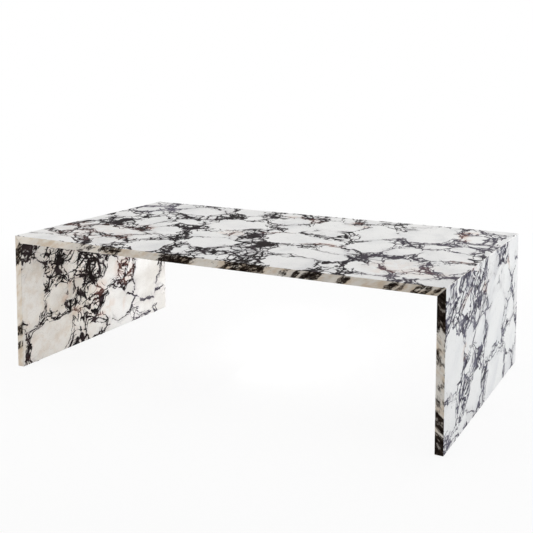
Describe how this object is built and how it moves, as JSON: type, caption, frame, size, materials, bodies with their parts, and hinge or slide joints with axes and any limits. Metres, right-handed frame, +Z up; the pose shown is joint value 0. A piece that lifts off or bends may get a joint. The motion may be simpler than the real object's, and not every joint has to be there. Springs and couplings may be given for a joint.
{
  "type": "coffee table",
  "caption": "Low bridge-shaped coffee table of polished marble slabs: a long top that turns down through mitred corners into full-depth leg panels.",
  "frame": {"origin": "on the floor under the middle of the top", "axes": "+X along the table, +Y from its front to its back, +Z up"},
  "size_m": [1.2, 0.68, 0.365],
  "materials": {
    "marble": "polished white breccia marble with dark violet veins",
    "stone_epoxy": "cured, tinted to the stone",
    "stainless": "drawn bar",
    "slot_resin": "cured resin, rubbed flush",
    "felt": "pressed felt"
  },
  "bodies": {
    "root": {"top_slab": "marble", "left_leg_slab": "marble", "right_leg_slab": "marble", "left_mitre_epoxy": "stone_epoxy", "right_mitre_epoxy": "stone_epoxy", "left_mitre_dowels": "stainless", "right_mitre_dowels": "stainless", "underside_rods": "stainless", "rod_slot_resin": "slot_resin", "left_leg_pads": "felt", "right_leg_pads": "felt"}
  },
  "joints": []
}
